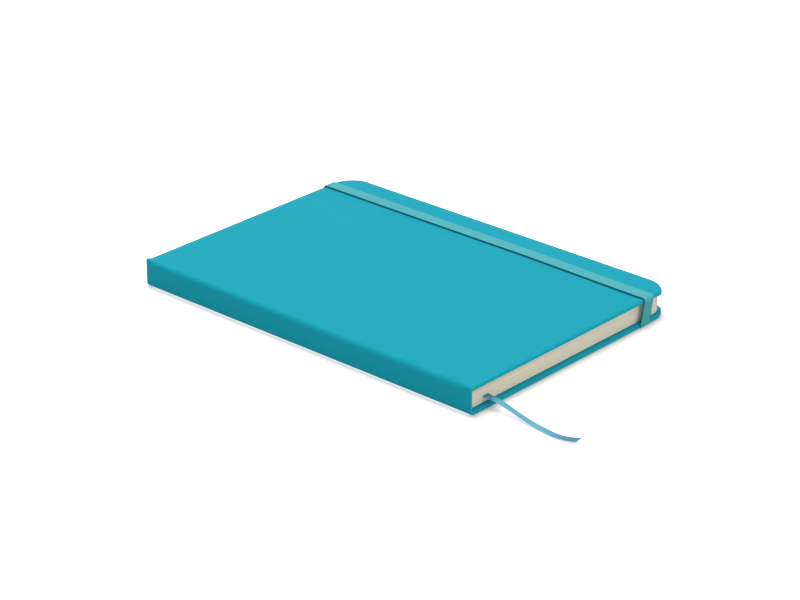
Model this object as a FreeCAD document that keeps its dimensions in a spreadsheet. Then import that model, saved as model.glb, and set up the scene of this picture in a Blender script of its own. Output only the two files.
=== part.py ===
import FreeCAD, Part
import math
import os

import Sketcher
from FreeCAD import Vector

# A5 case-bound notebook in a one-piece soft-touch skin, closed and lying on its back cover.
# X runs across it (spine at -X, fore-edge at +X), Y along the spine (tail at -Y, head at +Y), Z up.
# The origin is under the middle of the covers, on the surface that the back cover lies on.

SIZES = [
    # covers: boards in a skin that is turned in over their edges
    ("cover_length", 210.0),
    ("cover_width", 147.0),
    ("book_thickness", 14.3),
    ("cover_thickness", 2.2),
    ("skin_thickness", 0.5),
    ("turn_in_width", 14.0),
    ("corner_radius", 12.0),
    ("edge_radius", 0.8),
    ("shoulder_radius", 3.0),
    ("spine_card_thickness", 0.6),
    # pages and endpapers
    ("overhang", 2.5),
    ("page_corner_radius", 7.0),
    ("endpaper_thickness", 0.15),
    ("opening_gap", 0.1),
    ("pastedown_margin", 3.0),
    ("lining_thickness", 0.3),
    ("lining_setback", 6.0),
    # elastic closure: insets are from the fore-edge to the middle of the band
    ("band_width", 7.0),
    ("band_thickness", 0.7),
    ("band_bend_radius", 0.6),
    ("band_inset", 16.7),
    ("slit_inset", 21.3),
    ("slit_setback", 9.0),
    ("tongue_length", 12.0),
    ("band_fit", 0.05),
    ("groove_side_gap", 0.2),
    # ribbon marker: insets are from the spine's outer face to the middle of the ribbon
    ("ribbon_width", 3.9),
    ("ribbon_thickness", 0.3),
    ("ribbon_inset", 12.7),
    ("ribbon_height", 5.6),
    ("ribbon_level_run", 6.0),
    ("ribbon_root_inset", 5.0),
    ("ribbon_root_setback", 8.0),
]

# The ribbon's free end after its level run out of the pages. Each point is given along X and along Y from
# where the ribbon leaves them, and by its height above the surface. The ribbon springs out over the back
# cover's edge, comes down on the surface and swings towards the fore-edge.
RIBBON_ROUTE = [
    (0.4, -14.2, 3.1),
    (-0.9, -24.2, 1.5),
    (-1.3, -32.4, 0.3),
    (-2.6, -46.4, 0.3),
    (1.0, -53.2, 0.8),
]

# How much of the shorter of its two runs each arc of the ribbon's path takes.
RIBBON_ARC_SHARE = 0.45

# Positions nearer than this are the same, in millimetres.
SAME = 1e-6

doc = FreeCAD.newDocument("notebook")
sheet = doc.addObject("Spreadsheet::Sheet", "sizes")
for row, (alias, number) in enumerate(SIZES, start=1):
    sheet.set(f"A{row}", alias)
    sheet.set(f"B{row}", str(number))
    sheet.setAlias(f"B{row}", alias)
doc.recompute()

# Places that several pieces share, as expressions of the sheet's sizes.
SPINE_X = "(-sizes.cover_width / 2)"
FORE_X = "(sizes.cover_width / 2)"
HALF_LENGTH = "(sizes.cover_length / 2)"
COVER_X = f"({SPINE_X} + sizes.shoulder_radius)"
COVER_REACH = "(sizes.cover_width - sizes.shoulder_radius)"
WALL = "(sizes.skin_thickness + sizes.spine_card_thickness)"
BLOCK_X = f"({SPINE_X} + {WALL} + sizes.lining_thickness)"
BLOCK_REACH = f"({FORE_X} - sizes.overhang - {BLOCK_X})"
BLOCK_HALF = f"({HALF_LENGTH} - sizes.overhang)"
BLOCK_CORNER = "sizes.page_corner_radius"
FLYLEAF_Z = "(sizes.cover_thickness + sizes.endpaper_thickness + sizes.opening_gap)"
BLOCK_Z = f"({FLYLEAF_Z} + sizes.endpaper_thickness)"
BLOCK_THICKNESS = f"(sizes.book_thickness - 2 * {BLOCK_Z})"
TOP_INNER_Z = "(sizes.book_thickness - sizes.cover_thickness)"
BAND_X = f"({FORE_X} - sizes.band_inset - sizes.band_width / 2)"
SLIT_X = f"({FORE_X} - sizes.slit_inset - sizes.band_width / 2)"
BAND_FACE = f"({HALF_LENGTH} + sizes.band_fit)"
GROOVE_DEPTH = "(sizes.band_thickness + sizes.band_fit)"
GROOVE_WIDTH = "(sizes.band_width + 2 * sizes.groove_side_gap)"
SLIT_Y = f"({HALF_LENGTH} - sizes.slit_setback)"
SLIT_THICKNESS = "(sizes.band_thickness + 2 * sizes.band_fit)"


def amount(expression):
    """The number that an expression of the sheet's sizes comes to."""
    return float(sheet.evalExpression(expression))


def place(thing, corner):
    """Ties an object's position to expressions for X, Y and Z."""
    for axis, expression in zip("xyz", corner):
        thing.setExpression(f".Placement.Base.{axis}", expression)


def box(name, size, corner):
    """A box with its lowest corner at corner; sizes and corner are expressions."""
    solid = doc.addObject("Part::Box", name)
    for side, expression in zip(("Length", "Width", "Height"), size):
        solid.setExpression(side, expression)
    place(solid, corner)
    return solid


def cut(name, base, tool):
    result = doc.addObject("Part::Cut", name)
    result.Base = base
    result.Tool = tool
    return result


def common(name, base, tool):
    result = doc.addObject("Part::Common", name)
    result.Base = base
    result.Tool = tool
    return result


def fuse(name, pieces):
    result = doc.addObject("Part::MultiFuse", name)
    result.Shapes = pieces
    result.Refine = True
    return result


def mirrored(name, source):
    """The same piece at the other end of the book, mirrored across the middle of its length."""
    result = doc.addObject("Part::Mirroring", name)
    result.Source = source
    result.Base = Vector(0, 0, 0)
    result.Normal = Vector(0, 1, 0)
    return result


def outline(body, plane, name, corners):
    """A closed sketch on one of the body's own planes, through corners tied to their expressions."""
    sketch = body.newObject("Sketcher::SketchObject", name)
    support = [feature for feature in body.Origin.OriginFeatures if feature.Role == plane][0]
    sketch.AttachmentSupport = [(support, "")]
    sketch.MapMode = "FlatFace"
    points = [Vector(amount(across), amount(up), 0) for across, up in corners]
    count = len(points)
    for n in range(count):
        sketch.addGeometry(Part.LineSegment(points[n], points[(n + 1) % count]), False)
    for n in range(count):
        sketch.addConstraint(Sketcher.Constraint("Coincident", n, 2, (n + 1) % count, 1))
    for n, (across, up) in enumerate(corners):
        x_tie = sketch.addConstraint(Sketcher.Constraint("DistanceX", -1, 1, n, 1, points[n].x))
        y_tie = sketch.addConstraint(Sketcher.Constraint("DistanceY", -1, 1, n, 1, points[n].y))
        sketch.setExpression(f"Constraints[{x_tie}]", across)
        sketch.setExpression(f"Constraints[{y_tie}]", up)
    return sketch


def padded(body, sketch, name, depth, turned=False):
    pad = body.newObject("PartDesign::Pad", name)
    pad.Profile = sketch
    pad.setExpression("Length", depth)
    pad.Reversed = turned
    doc.recompute()
    return pad


def rounded(body, feature, name, radius, chosen):
    """Rounds the feature's edges that chosen picks."""
    names = [f"Edge{n}" for n, edge in enumerate(feature.Shape.Edges, start=1) if chosen(edge)]
    fillet = body.newObject("PartDesign::Fillet", name)
    fillet.Base = (feature, names)
    fillet.setExpression("Radius", radius)
    doc.recompute()
    return fillet


def upright(edge):
    bounds = edge.BoundBox
    return bounds.ZLength > SAME and bounds.XLength < SAME and bounds.YLength < SAME


def lengthwise(edge):
    bounds = edge.BoundBox
    return bounds.YLength > SAME and bounds.XLength < SAME and bounds.ZLength < SAME


def leaf(name, reach, half_length, thickness, corner_radius, corner):
    """A flat sheet or block: square at the spine, with its two fore-edge corners rounded in plan.
    Its own origin is at the middle of its spine side."""
    body = doc.addObject("PartDesign::Body", name)
    corners = [
        ("0", f"-{half_length}"),
        (reach, f"-{half_length}"),
        (reach, half_length),
        ("0", half_length),
    ]
    pad = padded(body, outline(body, "XY_Plane", f"{name}_outline", corners), f"{name}_pad", thickness)
    far = amount(reach)
    rounded(
        body, pad, f"{name}_corners", corner_radius,
        lambda edge: upright(edge) and abs(edge.BoundBox.XMin - far) < SAME,
    )
    place(body, corner)
    return body


def cover_envelope(name, base_z):
    """The outside of one cover: a leaf whose long rims are softened all round, except at the spine."""
    body = leaf(
        name, COVER_REACH, HALF_LENGTH, "sizes.cover_thickness", "sizes.corner_radius",
        (COVER_X, "0", base_z),
    )
    rounded(
        body, body.Tip, f"{name}_rims", "sizes.edge_radius",
        lambda edge: edge.BoundBox.ZLength < SAME and edge.BoundBox.XMax > SAME,
    )
    return body


def cover_board(name, base_z, panel_up):
    """A board, full thickness in the middle and rebated round three sides for the skin's turn-ins."""
    core = leaf(
        f"{name}_core",
        f"({COVER_REACH} - sizes.skin_thickness)",
        f"({HALF_LENGTH} - sizes.skin_thickness)",
        "(sizes.cover_thickness - 2 * sizes.skin_thickness)",
        "(sizes.corner_radius - sizes.skin_thickness)",
        (COVER_X, "0", f"{base_z} + sizes.skin_thickness"),
    )
    panel_length = "(sizes.cover_length - 2 * sizes.turn_in_width)"
    panel_z = f"{base_z} + sizes.cover_thickness - sizes.skin_thickness" if panel_up else base_z
    panel = box(
        f"{name}_panel",
        (f"({COVER_REACH} - sizes.turn_in_width)", panel_length, "sizes.skin_thickness"),
        (COVER_X, f"-{panel_length} / 2", panel_z),
    )
    return fuse(name, [core, panel])


def front_cover_pieces():
    board = cover_board("front_board", TOP_INNER_Z, panel_up=False)
    skin = cut("front_leather", cover_envelope("front_envelope", TOP_INNER_Z), board)
    return [board, skin, pastedown("front_pastedown", f"{TOP_INNER_Z} - sizes.endpaper_thickness")]


def pastedown(name, base_z):
    """The half of an endpaper that is glued inside a cover, over its board and the turn-ins' edges."""
    return leaf(
        name,
        f"({COVER_REACH} - sizes.pastedown_margin)",
        f"({HALF_LENGTH} - sizes.pastedown_margin)",
        "sizes.endpaper_thickness",
        "(sizes.corner_radius - sizes.pastedown_margin)",
        (COVER_X, "0", base_z),
    )


def slit_cuts(name, skin):
    """What each end of the elastic needs in the back cover: a groove outside from past the rim to the slit,
    the slit, and a recess inside for the glued tongue. The groove is larger all round by skin."""
    width = f"({GROOVE_WIDTH} + 2 * {skin})"
    left = f"({SLIT_X} - sizes.groove_side_gap - {skin})"
    slit_far = f"(-{SLIT_Y} + {SLIT_THICKNESS})"
    past_rim = f"(-{HALF_LENGTH} - {GROOVE_DEPTH})"
    groove = box(
        f"{name}_groove",
        (width, f"({slit_far} - {past_rim})", f"({GROOVE_DEPTH} + {skin})"),
        (left, past_rim, "0"),
    )
    slit = box(
        f"{name}_slit",
        (GROOVE_WIDTH, SLIT_THICKNESS, "sizes.cover_thickness"),
        (f"({SLIT_X} - sizes.groove_side_gap)", f"-{SLIT_Y}", "0"),
    )
    recess = box(
        f"{name}_recess",
        (GROOVE_WIDTH, f"(sizes.tongue_length + {SLIT_THICKNESS} + sizes.band_fit)", GROOVE_DEPTH),
        (f"({SLIT_X} - sizes.groove_side_gap)", f"-{SLIT_Y}", f"(sizes.cover_thickness - {GROOVE_DEPTH})"),
    )
    tail = fuse(f"{name}_tail", [groove, slit, recess])
    return fuse(name, [tail, mirrored(f"{name}_head", tail)])


def back_cover_pieces():
    board_blank = cover_board("back_board_blank", "0", panel_up=True)
    board = cut("back_board", board_blank, slit_cuts("board_cuts", "sizes.skin_thickness"))
    skin_blank = cut("back_skin_blank", cover_envelope("back_envelope", "0"), board)
    skin = cut("back_leather", skin_blank, slit_cuts("skin_cuts", "0"))
    return [board, skin, pastedown("back_pastedown", "sizes.cover_thickness")]


def shoulder_bar(name, inset):
    """A bar with the outline of the spine's outside, inset all round, and its two shoulders rounded."""
    body = doc.addObject("PartDesign::Body", name)
    reach = "(2 * sizes.shoulder_radius)"
    corners = [
        (inset, inset),
        (reach, inset),
        (reach, f"(sizes.book_thickness - {inset})"),
        (inset, f"(sizes.book_thickness - {inset})"),
    ]
    sketch = outline(body, "XZ_Plane", f"{name}_outline", corners)
    pad = padded(body, sketch, f"{name}_pad", f"(sizes.cover_length - 2 * {inset})")
    near = amount(inset)
    rounded(
        body, pad, f"{name}_shoulders", f"(sizes.shoulder_radius - {inset})",
        lambda edge: lengthwise(edge) and abs(edge.BoundBox.XMin - near) < SAME,
    )
    place(body, (SPINE_X, f"({HALF_LENGTH} - {inset})", "0"))
    return body


def spine_pieces():
    """The skin round the spine and its shoulders, closed by turn-ins at head and tail, and its card."""
    outside = shoulder_bar("spine_outside", "0")
    hollow = cut("spine_hollow", outside, shoulder_bar("spine_inside", "sizes.skin_thickness"))
    passage = box(
        "page_passage",
        ("(2 * sizes.shoulder_radius)", "sizes.cover_length", f"({TOP_INNER_Z} - sizes.cover_thickness)"),
        (f"({SPINE_X} + {WALL})", f"-{HALF_LENGTH}", "sizes.cover_thickness"),
    )
    strip = box(
        "spine_strip",
        ("sizes.shoulder_radius", "sizes.cover_length", "sizes.book_thickness"),
        (SPINE_X, f"-{HALF_LENGTH}", "0"),
    )
    leather = common("spine_leather", cut("spine_channel", hollow, passage), strip)
    card = box(
        "spine_card",
        (
            "sizes.spine_card_thickness",
            "(sizes.cover_length - 2 * sizes.skin_thickness)",
            "(sizes.book_thickness - 2 * sizes.shoulder_radius)",
        ),
        (
            f"({SPINE_X} + sizes.skin_thickness)",
            f"(-{HALF_LENGTH} + sizes.skin_thickness)",
            "sizes.shoulder_radius",
        ),
    )
    return [leather, card]


def ribbon_inside():
    """The ribbon between the leaves, from where it is glued near the spine at the head to the tail edge."""
    body = doc.addObject("PartDesign::Body", "ribbon_inner")
    tail_y = f"-{BLOCK_HALF}"
    head_y = f"({BLOCK_HALF} - sizes.ribbon_root_setback)"
    half = "sizes.ribbon_width / 2"
    corners = [
        (f"sizes.ribbon_inset - {half}", tail_y),
        (f"sizes.ribbon_inset + {half}", tail_y),
        (f"sizes.ribbon_root_inset + {half}", head_y),
        (f"sizes.ribbon_root_inset - {half}", head_y),
    ]
    sketch = outline(body, "XY_Plane", "ribbon_inner_outline", corners)
    padded(body, sketch, "ribbon_inner_pad", "sizes.ribbon_thickness")
    place(body, (SPINE_X, "0", "(sizes.ribbon_height - sizes.ribbon_thickness / 2)"))
    return body


def page_pieces():
    """The sewn pages as one block closed round the ribbon, the free endpapers and the spine lining."""
    ribbon = ribbon_inside()
    blank = leaf(
        "page_blank", BLOCK_REACH, BLOCK_HALF, BLOCK_THICKNESS, BLOCK_CORNER, (BLOCK_X, "0", BLOCK_Z)
    )
    pages = cut("page_block", blank, ribbon)
    top_z = f"({BLOCK_Z} + {BLOCK_THICKNESS})"
    thin = "sizes.endpaper_thickness"
    front = leaf("front_flyleaf", BLOCK_REACH, BLOCK_HALF, thin, BLOCK_CORNER, (BLOCK_X, "0", top_z))
    back = leaf("back_flyleaf", BLOCK_REACH, BLOCK_HALF, thin, BLOCK_CORNER, (BLOCK_X, "0", FLYLEAF_Z))
    lining_half = f"({BLOCK_HALF} - sizes.lining_setback)"
    lining = box(
        "spine_lining",
        ("sizes.lining_thickness", f"2 * {lining_half}", BLOCK_THICKNESS),
        (f"({SPINE_X} + {WALL})", f"-{lining_half}", BLOCK_Z),
    )
    return [pages, ribbon, front, back, lining]


def ribbon_points():
    """The level run, then the route from the same place."""
    x = amount(f"{SPINE_X} + sizes.ribbon_inset")
    y = amount(f"-{BLOCK_HALF}")
    leaving = Vector(x, y, amount("sizes.ribbon_height"))
    level_end = leaving - Vector(0, amount("sizes.ribbon_level_run"), 0)
    return [leaving, level_end] + [Vector(x + dx, y + dy, z) for dx, dy, z in RIBBON_ROUTE]


def ribbon_path():
    """The ribbon's points as straight runs joined by tangent arcs, and the radii of those arcs."""
    points = ribbon_points()
    edges = []
    radii = []
    begin = points[0]
    for before, corner, after in zip(points, points[1:], points[2:]):
        back = before - corner
        ahead = after - corner
        reach = RIBBON_ARC_SHARE * min(back.Length, ahead.Length)
        half_turn = (math.pi - back.getAngle(ahead)) / 2
        back.normalize()
        ahead.normalize()
        radius = reach / math.tan(half_turn)
        middle = corner + (back + ahead).normalize() * (radius / math.cos(half_turn) - radius)
        first = corner + back * reach
        last = corner + ahead * reach
        edges.append(Part.LineSegment(begin, first).toShape())
        edges.append(Part.Arc(first, middle, last).toShape())
        radii.append(radius)
        begin = last
    edges.append(Part.LineSegment(begin, points[-1]).toShape())
    return Part.Wire(edges), radii


def ribbon_tail():
    """The free end of the ribbon: a flat strip along its path, its width level all the way."""
    path, radii = ribbon_path()
    half = amount("sizes.ribbon_width / 2")
    thickness = amount("sizes.ribbon_thickness")
    start = path.Vertexes[0].Point
    run = path.Edges[0].tangentAt(path.Edges[0].FirstParameter)
    side = Vector(0, 0, 1).cross(run).normalize()
    rise = run.cross(side).normalize() * (thickness / 2)
    ring = [start - side * half - rise, start + side * half - rise]
    ring += [start + side * half + rise, start - side * half + rise]
    sweep = Part.BRepOffsetAPI.MakePipeShell(path)
    sweep.setBiNormalMode(Vector(0, 0, 1))
    sweep.setTransitionMode(1)
    sweep.add(Part.makePolygon(ring + ring[:1]))
    sweep.build()
    sweep.makeSolid()
    strip = doc.addObject("Part::Feature", "ribbon_tail")
    strip.Shape = sweep.shape()
    strip.Placement = FreeCAD.Placement()
    expected = 2 * half * thickness * path.Length
    print("ribbon arc radii", [round(radius, 1) for radius in radii])
    print(f"ribbon length {path.Length:.2f} mm, volume {strip.Shape.Volume:.2f} of {expected:.2f} mm3")
    return strip


def band_leg():
    """The elastic over the tail edge: it leans towards the spine from the front cover down to its slit."""
    body = doc.addObject("PartDesign::Body", "band_leg")
    low = "sizes.band_thickness"
    high = "(sizes.book_thickness + sizes.band_fit)"
    corners = [
        (SLIT_X, low),
        (f"({SLIT_X} + sizes.band_width)", low),
        (f"({BAND_X} + sizes.band_width)", high),
        (BAND_X, high),
    ]
    sketch = outline(body, "XZ_Plane", "band_leg_outline", corners)
    padded(body, sketch, "band_leg_pad", "sizes.band_thickness")
    place(body, ("0", f"-{BAND_FACE}", "0"))
    return body


def bend(name, solid, corner_z):
    """The elastic's solid with its outer corner at the tail edge rounded, at the height corner_z."""
    doc.recompute()
    outer_y = -amount(f"{BAND_FACE} + sizes.band_thickness")
    height = amount(corner_z)
    radius = amount("sizes.band_bend_radius")
    chosen = []
    for n, edge in enumerate(solid.Shape.Edges, start=1):
        bounds = edge.BoundBox
        at_tail = abs(bounds.YMin - outer_y) < SAME and abs(bounds.YMax - outer_y) < SAME
        if at_tail and abs(bounds.ZMin - height) < SAME and abs(bounds.ZMax - height) < SAME:
            chosen.append((n, radius, radius))
    result = doc.addObject("Part::Fillet", name)
    result.Base = solid
    result.Edges = chosen
    return result


def band_foot():
    """The elastic's end at the tail: under the cover, up through the slit, and glued down inside."""
    under_length = f"({BAND_FACE} + 2 * sizes.band_thickness - {SLIT_Y} + sizes.band_fit)"
    under = box(
        "band_under",
        ("sizes.band_width", under_length, "sizes.band_thickness"),
        (SLIT_X, f"(-{BAND_FACE} - sizes.band_thickness)", "0"),
    )
    tongue_z = f"(sizes.cover_thickness - {GROOVE_DEPTH})"
    rise = box(
        "band_rise",
        ("sizes.band_width", "sizes.band_thickness", f"({tongue_z} + sizes.band_thickness)"),
        (SLIT_X, f"(-{SLIT_Y} + sizes.band_fit)", "0"),
    )
    tongue = box(
        "band_tongue",
        ("sizes.band_width", "(sizes.tongue_length + sizes.band_thickness)", "sizes.band_thickness"),
        (SLIT_X, f"(-{SLIT_Y} + sizes.band_fit)", tongue_z),
    )
    return bend("band_foot", fuse("band_foot_blank", [under, rise, tongue]), "0")


def band_pieces():
    """The elastic closure as one loop, open only inside the back cover between its two tongues."""
    top_z = "(sizes.book_thickness + sizes.band_fit)"
    half_run = box(
        "band_half_run",
        ("sizes.band_width", f"({BAND_FACE} + sizes.band_thickness)", "sizes.band_thickness"),
        (BAND_X, f"(-{BAND_FACE} - sizes.band_thickness)", top_z),
    )
    run = bend("band_run", half_run, f"({top_z} + sizes.band_thickness)")
    tail_half = fuse("band_tail_half", [run, band_leg(), band_foot()])
    return [fuse("elastic_band", [tail_half, mirrored("band_head_half", tail_half)])]


def write(pieces):
    """Checks the whole document, then writes each piece to a file of its own name."""
    doc.recompute()
    faults = [item.Name for item in doc.Objects if "Invalid" in item.State or "Error" in item.State]
    faults += [piece.Label for piece in pieces if piece.Shape.isNull() or not piece.Shape.isValid()]
    faults += [piece.Label for piece in pieces if len(piece.Shape.Solids) != 1]
    if faults:
        raise RuntimeError("these did not come out sound: " + ", ".join(faults))
    os.makedirs("parts", exist_ok=True)
    for piece in pieces:
        piece.Shape.exportStep(os.path.join("parts", piece.Label + ".step"))
        bounds = piece.Shape.BoundBox
        low = (round(bounds.XMin, 2), round(bounds.YMin, 2), round(bounds.ZMin, 2))
        high = (round(bounds.XMax, 2), round(bounds.YMax, 2), round(bounds.ZMax, 2))
        print(piece.Label, low, high, f"{piece.Shape.Volume:.0f} mm3")


write(
    page_pieces() + spine_pieces() + [ribbon_tail()]
    + front_cover_pieces() + back_cover_pieces() + band_pieces()
)
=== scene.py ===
import math

import bmesh
import bpy
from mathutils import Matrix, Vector


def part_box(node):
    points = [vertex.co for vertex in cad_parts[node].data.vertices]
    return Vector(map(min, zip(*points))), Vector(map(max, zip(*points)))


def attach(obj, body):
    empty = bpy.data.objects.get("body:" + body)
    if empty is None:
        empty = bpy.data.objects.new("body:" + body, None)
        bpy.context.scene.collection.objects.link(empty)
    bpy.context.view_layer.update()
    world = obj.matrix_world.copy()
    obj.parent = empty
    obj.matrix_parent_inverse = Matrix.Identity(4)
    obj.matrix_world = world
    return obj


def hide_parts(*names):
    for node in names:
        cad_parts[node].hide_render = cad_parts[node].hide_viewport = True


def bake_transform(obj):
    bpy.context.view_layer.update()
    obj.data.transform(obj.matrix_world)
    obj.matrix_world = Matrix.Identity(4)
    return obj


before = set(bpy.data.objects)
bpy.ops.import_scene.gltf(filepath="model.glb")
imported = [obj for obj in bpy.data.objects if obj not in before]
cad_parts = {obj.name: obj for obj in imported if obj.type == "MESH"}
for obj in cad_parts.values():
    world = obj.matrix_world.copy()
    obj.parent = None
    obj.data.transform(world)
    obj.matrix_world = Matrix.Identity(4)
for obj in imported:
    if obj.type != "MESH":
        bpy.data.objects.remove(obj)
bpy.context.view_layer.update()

# Everything is in metres, in the book's own frame: X from the spine to the fore-edge, Y from tail to head,
# Z up. What the frame can give is read from it, and the rest is set here.
MM = 0.001

# Covers and spine, from the frame. The turned-in skin stands a little proud of the spine's card, and the
# bare skin ends on the card.
SKIN_LOW, SKIN_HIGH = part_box("front_leather")
BLOCK_LOW, BLOCK_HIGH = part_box("page_block")
SPINE_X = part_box("spine_leather")[0].x
JOINT_X = SKIN_LOW.x
FORE_X = SKIN_HIGH.x
HALF_LENGTH = SKIN_HIGH.y
BOOK_THICKNESS = SKIN_HIGH.z
SHOULDER_RADIUS = JOINT_X - SPINE_X
TURNED_PROUD = 0.1 * MM
WALL_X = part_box("spine_card")[1].x + TURNED_PROUD
THIN_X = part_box("spine_card")[0].x
INNER_Z = SKIN_LOW.z
SHOULDER_Z = BOOK_THICKNESS - SHOULDER_RADIUS

# Elastic closure, from the frame and its usual measures. The ribs run along it, and its selvedge is the
# share of its half width that is rounded off.
BAND_LOW, BAND_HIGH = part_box("elastic_band")
SKIN_BACK_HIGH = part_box("back_leather")[1].z
BAND_WIDTH = 7 * MM
BAND_THICKNESS = 0.7 * MM
BAND_FIT = 0.05 * MM
BAND_TONGUE = 12 * MM
SLIT_SETBACK = 9 * MM
# The inside radius of its folds at a slit.
SLIT_FOLD_RADIUS = 0.06 * MM
BAND_RIBS = 7.0
BAND_RIB_HEIGHT = 0.08 * MM
TAPE_SELVEDGE = 0.08

# Ribbon marker: where it leaves the pages, and its route from there (X and Y steps, and height).
RIBBON_INSET = 12.7 * MM
RIBBON_WIDTH = 3.9 * MM
RIBBON_THICKNESS = 0.3 * MM
RIBBON_ROUTE = [
    (0, 0, 0.0056),
    (0, -0.006, 0.0056),
    (0.0006, -0.0142, 0.0031),
    (-0.0004, -0.0242, 0.0015),
    (-0.0009, -0.0324, 0.0004),
    (-0.0025, -0.0467, 0.0006),
    (0.0002, -0.0533, 0.0015),
]
# How far it is rolled about its own line, in degrees, at these parts of its length.
RIBBON_ROLL = [(0.0, 0.0), (0.15, 3.5), (0.45, 8.0), (0.75, 0.5), (1.0, -3.0)]
# How far one side of its cut end is ahead of the other, and over what length the slant builds up.
RIBBON_SLANT = -RIBBON_WIDTH * 0.4
RIBBON_SLANT_REACH = 8 * MM

# Camera: where it looks, from how far, its turn round the book and its height in degrees, its lens and the
# width of its sensor in millimetres, and its shift.
CAMERA_TARGET = (0, 0, 0.007)
CAMERA_DISTANCE = 1.285
CAMERA_ANGLES = (48.04, 24.46)
CAMERA_LENS = 119.14
CAMERA_SENSOR = 36
CAMERA_SHIFT = (-0.007, -0.017)

# The rim of the skin: its corners in plan, the rounding of its edges and the most of the thickness that one
# of them takes, how far in from the rim the turned-in skin is modelled, with a row at this share of it, and
# how far a row stands off a rounding or a fold to keep the flat beside it flat.
CORNER_RADIUS = 11 * MM
EDGE_RADIUS = 1.0 * MM
EDGE_SHARE = 0.47
TURNED_END = 2.6 * MM
TURNED_ROW = 0.7
SUPPORT = 0.25 * MM
FLAT_START = 1 * MM

# The skin's shoulders along the spine: their radius, the smaller one at their turned-in ends, and how far
# from an end they have their full radius. The tail of the spine is hollow by the dip.
SHOULDER_FULL_RADIUS = 2.7 * MM
SHOULDER_END_RADIUS = 0.9 * MM
SHOULDER_FADE = 7 * MM
SPINE_TAIL_DIP = 0.12 * MM
# The front shoulder stands up in an ear at the head, which dies away over this reach.
HEAD_EAR = 1.0 * MM
EAR_REACH = 10 * MM
# How far the front cover's corners droop, and how much thicker the gathered skin makes them.
CORNER_DROOP = 0.7 * MM
CORNER_FOLD = 1.0 * MM
# Rows of points across the spine, from each of its ends.
SPINE_ROWS = [3.4 * MM, 4.2 * MM, 5.2 * MM, 6.2 * MM, 7.5 * MM]

# The share of its thickness that is taken off the outer edges of an endpaper's fold.
ENDPAPER_SOFT_EDGE = 0.3

# Pages: how many leaves, the share of its own height that a leaf fills, how far it may be out of line, and
# the seed of that.
LEAVES = 80
LEAF_SHARE = 0.96
LEAF_UNEVENNESS = 0.06 * MM
LEAF_SEED = 7
PAGE_CORNER_RADIUS = 7 * MM

# The elastic's top run: its spine side at the head, how far it drifts towards the spine at the tail, and how
# far past the middle the drift starts.
BAND_TOP_X = 53.55 * MM
BAND_DRIFT = 1.4 * MM
BAND_DRIFT_START = 25 * MM
# The mark that it leaves in the skin, pressed in and painted dark as the shade beside the elastic too: its
# width, where it fades under the elastic, and how far below the cover's face it fades.
BAND_MARK = 1.05 * MM
BAND_MARK_END = (-0.3 * MM, -0.1 * MM)
BAND_MARK_DEPTH = (0.4 * MM, 0.2 * MM)
# How much nearer the fore edge its foot is at the rim than at the slit.
BAND_LEAN = 0.5 * MM

# Floor: half its side, how far it is below the book, and its colour where it lights the book and where it is
# seen.
FLOOR_HALF = 6.0
FLOOR_GAP = 0.05 * MM
FLOOR_COLOUR = (0.62, 0.62, 0.62)
FLOOR_SEEN_COLOUR = (1.0, 0.93, 0.89)
# Painted light: the floor's own glow, seen only directly, beside the spine, the fore edge and the two ends,
# and away from the book; how far from the spine and from the rest that changes; over what distance one side
# goes over into the next; and the painted light added under the spine's rounded foot, between two places.
FLOOR_LIFT = (0.27, 0.26, 0.115, 0.58)
FLOOR_SPINE_REACH = 4 * MM
FLOOR_LIFT_REACH = 8 * MM
FLOOR_BLEND = 2 * MM
FLOOR_CONTACT = 0.50
FLOOR_CONTACT_SPAN = (-1.6 * MM, -0.1 * MM)

# Light: the world's strength, and each lamp's name, strength, spread, turn from +X and height in degrees.
WORLD_LEVEL = 0.38
LAMPS = [("key", 1.57, 50, 62, 70), ("fill", 1.05, 70, -105, 25)]

# Colours of each finish, from its darker tone to its lighter one; a tape's painted shade colour comes last.
LEATHER_COLOURS = ((0.0068, 0.393, 0.508), (0.0084, 0.403, 0.520))
# The pressed line's colour: a pressed mark and painted shade beside the elastic.
PRESSED_AND_SHADE_COLOUR = (0.001, 0.190, 0.245)
LEAF_COLOURS = ((0.790, 0.725, 0.565), (0.925, 0.870, 0.710))
ENDPAPER_COLOURS = ((0.845, 0.797, 0.667), (0.870, 0.824, 0.696))
BOARD_COLOURS = ((0.23, 0.21, 0.18), (0.38, 0.36, 0.31))
LINING_COLOURS = ((0.58, 0.55, 0.47), (0.80, 0.78, 0.70))
RIBBON_COLOURS = ((0.10, 0.40, 0.56), (0.16, 0.50, 0.68), (0.03, 0.15, 0.23))
ELASTIC_COLOURS = ((0.06, 0.41, 0.46), (0.13, 0.56, 0.61), (0.001, 0.16, 0.20))

# Lining cloth: its threads, in radians to the metre.
LINING_THREADS = 5200

# Steps of the round parts, and of the elastic's runs between its folds.
SPINE_STEPS = 5
SHOULDER_STEPS = 24
ENDPAPER_FOLD_STEPS = 16
CORNER_STEPS = 14
ROLL_STEPS = 5
LEAF_CORNER_STEPS = 8
SLIT_FOLD_STEPS = 6
BAND_FOLD_STEPS = 10
BAND_UNDER_STEPS = 8
BAND_LEG_STEPS = 12
BAND_TOP_STEPS = 60
RIBBON_STEPS = 24
# Points round the section of each tape.
RIBBON_SECTION_POINTS = 32
BAND_SECTION_POINTS = 128

# Points nearer than this are one, and edges sharper than this many degrees stay sharp.
SAME_POINT = 1e-7
SHARP_ANGLE = 35


def smooth(low, high, value):
    """0 below low, 1 above high, and a smooth step between."""
    t = min(max((value - low) / (high - low), 0.0), 1.0)
    return t * t * (3 - 2 * t)


def along_table(table, at):
    """The value that a table of (place, value) pairs comes to at a place between them."""
    for (low, first), (high, last) in zip(table, table[1:]):
        if at <= high:
            return first + (last - first) * smooth(low, high, at)
    return table[-1][1]


# ---------------------------------------------------------------------------------------------------------
# Nodes
# ---------------------------------------------------------------------------------------------------------


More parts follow.
